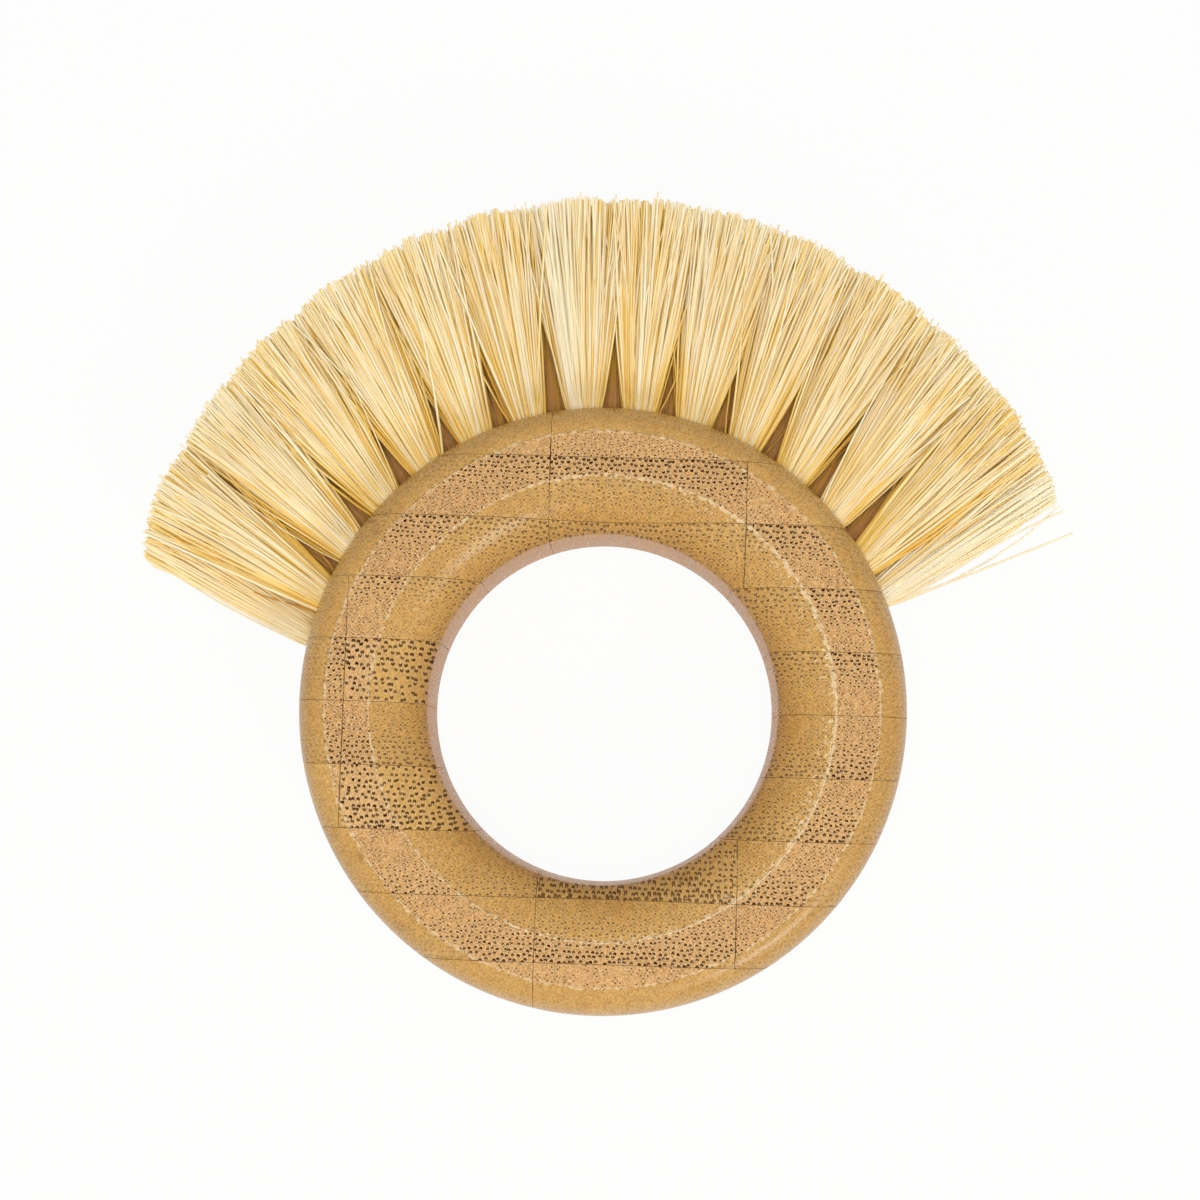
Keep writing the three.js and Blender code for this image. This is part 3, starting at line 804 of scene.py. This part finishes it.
# One tuft: its fibres start in the hole, crowded at its side, and run to the trimmed outline
def growTuft(tuft, number, stick, material):
    rng = np.random.default_rng(fibre["seed"] + number)
    count = fibre["perTuft"]
    order = np.arange(count) + 0.5
    reach = (order / count) ** fibre["crowding"]
    angle = order * math.pi * (3 - math.sqrt(5))    # golden angle, as seeds stand in a flower
    along, across = reach * np.cos(angle), reach * np.sin(angle)
    middle = {
        "lean": rng.normal(0, fibre["tuftLean"]),
        "rise": tuft["side"] * fibre["rowLean"],
        "inside": 1,
        "outer": 0,
        "base": 1,
        "spread": 1,
        "longer": fibre["longer"],
    }
    end = endTufts.get(tuft["name"], middle)
    outside = along * end["outer"] > 0
    root = np.stack((
        along * np.where(outside, end["base"], 1.0) * fibre["rootSpread"],
        np.full(count, -fibre["rootDepth"]),
        across * fibre["rootSpread"],
    ), 1)
    flyaway = rng.random(count) < fibre["flyawayShare"]
    wander = np.where(flyaway, fibre["flyaway"], fibre["tipWander"])
    spread = np.where(outside, end["spread"], 1.0) * fibre["tipSpreadAlong"]
    wander = np.where(along * end["outer"] > 0.5, fibre["outsideWander"], wander)
    wanderAlong = rng.normal(0, 1, count) * wander
    wanderAcross = rng.normal(0, 1, count) * wander * fibre["acrossWander"]
    tip = np.stack((
        along * spread + end["lean"] + wanderAlong,
        np.full(count, fibre["aimLength"]),
        across * fibre["tipSpreadAcross"] + end["rise"] + wanderAcross,
    ), 1)
    way = tip - root
    length = lengthToTrim(tuft, root, way) * np.linalg.norm(way, axis=1)
    length += rng.normal(end["longer"], fibre["trimWander"], count)
    short = rng.random(count) < fibre["shortShare"]
    length -= np.where(short, rng.uniform(*fibre["shortBy"], count), 0)
    basis = np.array((tuft["along"], tuft["out"], (0, 0, 1)))
    for i, strayTip in enumerate(strays.get(tuft["name"], [])):
        root[-1 - i] = (end["outer"] * fibre["rootSpread"], 0, 0)
        way[-1 - i] = basis @ (np.array(strayTip) - np.array(tuft["mouth"])) - root[-1 - i]
        length[-1 - i] = np.linalg.norm(way[-1 - i])
    way /= np.linalg.norm(way, axis=1)[:, None]
    bend = rng.normal(0, fibre["bend"], (count, 2))
    bend *= np.where(flyaway, fibre["flyawayBend"], 1)[:, None]
    phase = rng.uniform(0, 2 * math.pi, (count, 2))
    wave = rng.normal(0, fibre["wave"], (count, 2))
    thick = rng.uniform(*fibre["thickness"], count)
    twist = rng.normal(0, fibre["twist"], count)
    tone = rng.normal(0.0, fibreToneAndShade["spread"], count) + rng.normal(0, fibreToneAndShade["tuftSpread"])
    # Painted shade: fibres within the tuft, under its outer ones, get a darker tone
    tone += (1 - reach ** 3) * fibreToneAndShade["inner"]
    lockAlong, lockAcross = fibreToneAndShade["lockFrom"]
    inLock = (along * paleLocks.get(tuft["name"], 0) > lockAlong) & (across > lockAcross)
    tone += np.where(inLock, fibreToneAndShade["lock"], 0)

    # Every fibre takes the stick's points along its own line
    points, faces = stick
    s = points[:, 2]
    cosine, sine = np.cos(twist)[:, None], np.sin(twist)[:, None]
    girth = thick[:, None] * (1 - (1 - fibre["taper"]) * s)
    wide, thin = points[:, 1], points[:, 0] * fibre["flatness"]
    sideX = (wide * cosine - thin * sine) * girth
    sideZ = (wide * sine + thin * cosine) * girth
    line = root[:, None, :] + way[:, None, :] * (length[:, None] * s)[:, :, None]
    for axis, k in ((0, 0), (2, 1)):
        swing = np.sin(2 * math.pi * fibre["wavesPerFibre"] * s + phase[:, k:k + 1]) * s
        line[:, :, axis] += 4 * bend[:, k:k + 1] * (s - s * s) + wave[:, k:k + 1] * swing
    line[:, :, 0] += sideX
    line[:, :, 2] += sideZ
    placed = line.reshape(-1, 3) @ basis + np.array(tuft["mouth"])
    placed[:, 2] = np.clip(placed[:, 2], fibre["lowest"], ring["thickness"] - fibre["lowest"])
    stickSize = len(points)
    allFaces = [[p + f * stickSize for p in face] for f in range(count) for face in faces]
    mesh = bpy.data.meshes.new("tuft_" + tuft["name"])
    mesh.from_pydata((placed * mm).tolist(), [], allFaces)

    # Each point's tone, with painted shade: darker where it lies under other fibres and along the
    # fibre's edges
    fromMiddle = np.abs(placed[:, 2] - ring["thickness"] / 2)
    middleShadeShare = np.clip(fibreToneAndShade["middleShadeFull"] - fromMiddle / fibreToneAndShade["middleShadeReach"], 0, 1)
    shadeTowardsRoot = np.clip(fibreToneAndShade["rootFull"] * (1 - s), fibreToneAndShade["atTip"], 1)
    inside = end["inside"] * middleShadeShare * np.tile(shadeTowardsRoot, count)
    # Painted shade along both edges of each fibre, for its shaded sides and the light that shines
    # through them
    edgeShadeAlong = fibreToneAndShade["edgeShadeAtRoot"] + (1 - fibreToneAndShade["edgeShadeAtRoot"]) * s
    edge = np.tile(np.clip(2 * np.abs(wide) - 1, 0, 1) * edgeShadeAlong, count)
    cutEnd = np.tile(np.where(s > 0.99, fibreToneAndShade["cutEnd"], 1.0), count)
    paintedShade = (inside * fibreToneAndShade["middle"] + edge * fibreToneAndShade["edge"]) * cutEnd
    setPointAttribute(mesh, "fibreToneAndShade", np.repeat(tone, stickSize) + paintedShade)
    setFibreMap(mesh, points, faces, count)
    mesh.materials.append(material)
    piece = bpy.data.objects.new("tuft_" + tuft["name"], mesh)
    bpy.context.scene.collection.objects.link(piece)
    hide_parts(tuft["node"])
    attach(piece, "root")
    return piece


# A flat map for the fibres: each one has its own upright lane
def setFibreMap(mesh, points, faces, count):
    lane = {"left": 0.05, "width": 0.6, "foot": 0.02, "height": 0.96}
    lanes = mesh.uv_layers.new(name="OFBake")
    spots = []
    for face in faces:
        angles = [math.atan2(points[p][1], points[p][0]) / (2 * math.pi) % 1 for p in face]
        # A face that crosses the seam runs on past a full turn
        if max(angles) - min(angles) > 0.6:
            angles = [a + 1 if a < 0.4 else a for a in angles]
        for a, p in zip(angles, face):
            spots.append((
                lane["left"] + lane["width"] * a,
                lane["foot"] + lane["height"] * points[p][2],
            ))
    one = np.array(spots)
    whole = np.tile(one, (count, 1))
    whole[:, 0] = (whole[:, 0] + np.repeat(np.arange(count), len(one))) / count
    lanes.data.foreach_set("uv", whole.astype(np.float32).ravel())


def makeFan():
    stick = makeFibreStick()
    material = makeFibreMaterial()
    pieces = [growTuft(tuft, i, stick, material) for i, tuft in enumerate(tufts)]
    deselectAll()
    for piece in pieces:
        piece.select_set(True)
    bpy.context.view_layer.objects.active = pieces[0]
    bpy.ops.object.shade_flat()
    deselectAll()
    print("tufts grown:", len(pieces), "with", fibre["perTuft"], "fibres each")


makeFan()


# Flattened galvanised wire: the hidden anchors, drawn lengthways so the scratches run along them
def dressAnchors():
    look = {"bright": "#b9bcbf", "dull": "#8f9296"}
    material, tree, shader = newMaterial("flattened_steel_wire")
    place = addNode(tree, "TexCoord", {}, {}).node.outputs["Object"]
    # Drawing lines 0.1 mm apart and 5 mm long
    lineScale = (1 / (0.1 * mm), 1 / (0.1 * mm), 1 / (5 * mm))
    lines = addNode(tree, "Mapping", {}, {"Vector": place, "Scale": lineScale})
    scratch = addNode(tree, "TexNoise", {}, {"Vector": lines, "Scale": 1.0, "Detail": 2.0})
    colour = addNode(tree, "Mix", {"data_type": "RGBA"}, {
        "Factor": scratch, "A": linearColour(look["bright"]), "B": linearColour(look["dull"]),
    })
    tree.links.new(colour, shader.inputs["Base Color"])
    rough = addNode(tree, "MapRange", {}, {"Value": scratch, "To Min": 0.28, "To Max": 0.5})
    tree.links.new(rough, shader.inputs["Roughness"])
    relief = addNode(tree, "Bump", {}, {"Strength": 0.3, "Distance": 0.02 * mm, "Height": scratch})
    tree.links.new(relief, shader.inputs["Normal"])
    shader.inputs["Metallic"].default_value = 1.0
    anchors = [node for name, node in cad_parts.items() if name.startswith("tuft_anchor")]
    for node in anchors:
        node.data.materials.clear()
        node.data.materials.append(material)
    print("anchors dressed:", len(anchors))


dressAnchors()


# White floor that the camera sees as nearly white, with a trace of the brush's shadow
def makeStage():
    stage = {
        "size": 8000,
        "drop": 0.3,
        "paper": "#f4f3f1",
        "seenWhite": 0.94,
        "fadeFrom": 150,
        "fadeTo": 800,
        "backdrop": "#ffffff",
        "shade": "#fff6e6",
        "shadeLight": 0.36,
    }
    deselectAll()
    bpy.ops.mesh.primitive_plane_add(size=stage["size"] * mm, location=(0, 0, -stage["drop"] * mm))
    floor = bpy.context.object
    floor.name = "floor"
    material, tree, shader = newMaterial("white_paper_sweep")
    shader.inputs["Base Color"].default_value = linearColour(stage["paper"])
    shader.inputs["Roughness"].default_value = 0.9
    path = addNode(tree, "LightPath", {}, {}).node.outputs
    camera = addNode(tree, "Math", {"operation": "MAXIMUM"}, {
        0: path["Is Camera Ray"], 1: path["Is Glossy Ray"],
    })
    seen = addNode(tree, "Math", {"operation": "MAXIMUM"}, {
        0: camera, 1: path["Is Transmission Ray"],
    })
    # Pure white further out, so that the paper has no edge against the backdrop
    place = addNode(tree, "TexCoord", {}, {}).node.outputs["Object"]
    away = addNode(tree, "VectorMath", {"operation": "LENGTH"}, {0: place})
    whiter = addNode(tree, "MapRange", {"interpolation_type": "SMOOTHSTEP"}, {
        "Value": away,
        "From Min": stage["fadeFrom"] * mm,
        "From Max": stage["fadeTo"] * mm,
        "To Min": stage["seenWhite"],
    })
    share = addNode(tree, "Math", {"operation": "MULTIPLY"}, {0: seen, 1: whiter})
    white = addNode(tree, "Emission", {}, {"Strength": 1.0})
    mixed = addNode(tree, "MixShader", {}, {0: share, 1: shader.outputs[0], 2: white})
    tree.links.new(mixed, tree.nodes["Material Output"].inputs["Surface"])
    floor.data.materials.append(material)

    world = bpy.data.worlds.new("studio")
    world.use_nodes = True
    sky = world.node_tree
    path = addNode(sky, "LightPath", {}, {}).node.outputs
    camera = addNode(sky, "Math", {"operation": "MAXIMUM"}, {
        0: path["Is Camera Ray"], 1: path["Is Transmission Ray"],
    })
    strength = addNode(sky, "MapRange", {}, {
        "Value": camera, "To Min": stage["shadeLight"], "To Max": 1.0,
    })
    sky.links.new(strength, sky.nodes["Background"].inputs["Strength"])
    # Shade is warm, from light that has come off the brush and the walls
    warmth = addNode(sky, "Mix", {"data_type": "RGBA"}, {
        "Factor": camera, "A": linearColour(stage["shade"]), "B": linearColour(stage["backdrop"]),
    })
    sky.links.new(warmth, sky.nodes["Background"].inputs["Color"])
    bpy.context.scene.world = world
    print("stage set")


makeStage()

# Lamps: soft light from beside the camera, which leaves little shade, and a key for the gloss.
# Only the key is mirrored in the bamboo's polish.
lamps = {
    "overhead": {"at": (3, -25, 340), "size": 100, "power": 0.5, "mirrored": False},
    "key": {"at": (230, -390, 420), "size": 240, "power": 0.9, "mirrored": True},
    "back": {"at": (100, 500, 200), "size": 400, "power": 0.1, "mirrored": False},
    "fill": {"at": (-420, -300, 300), "size": 500, "power": 0.55, "mirrored": False},
}


def hangLamps():
    for name, lamp in lamps.items():
        data = bpy.data.lights.new(name, "AREA")
        data.shape = "DISK"
        data.size = lamp["size"] * mm
        data.energy = lamp["power"]
        item = bpy.data.objects.new(name, data)
        item.location = Vector(lamp["at"]) * mm
        item.visible_camera = False
        item.visible_glossy = lamp["mirrored"]
        item.rotation_euler = (-Vector(lamp["at"])).to_track_quat("-Z", "Y").to_euler()
        bpy.context.scene.collection.objects.link(item)
    print("lamps hung:", len(lamps))


hangLamps()

# Camera over the ring, a little towards its lower edge, turned so that the fan leans left
shot = {
    "at": (3.16, -24.79, 291.45),
    "target": (-0.107, 0.813, 12.5),
    "roll": math.radians(4.1),
    "lens": 65.03,
    "sensor": 36.0,
}


def placeCamera():
    data = bpy.data.cameras.new("camera")
    data.lens = shot["lens"]
    data.sensor_width = shot["sensor"]
    camera = bpy.data.objects.new("camera", data)
    bpy.context.scene.collection.objects.link(camera)
    forward = (Vector(shot["target"]) - Vector(shot["at"])).normalized()
    right = forward.cross(Vector((math.sin(shot["roll"]), math.cos(shot["roll"]), 0))).normalized()
    upright = right.cross(forward)
    turned = Matrix((right, upright, -forward)).transposed().to_4x4()
    camera.matrix_world = Matrix.Translation(Vector(shot["at"]) * mm) @ turned
    bpy.context.scene.camera = camera
    bpy.context.scene.view_settings.view_transform = "Standard"
    print("camera placed")


placeCamera()
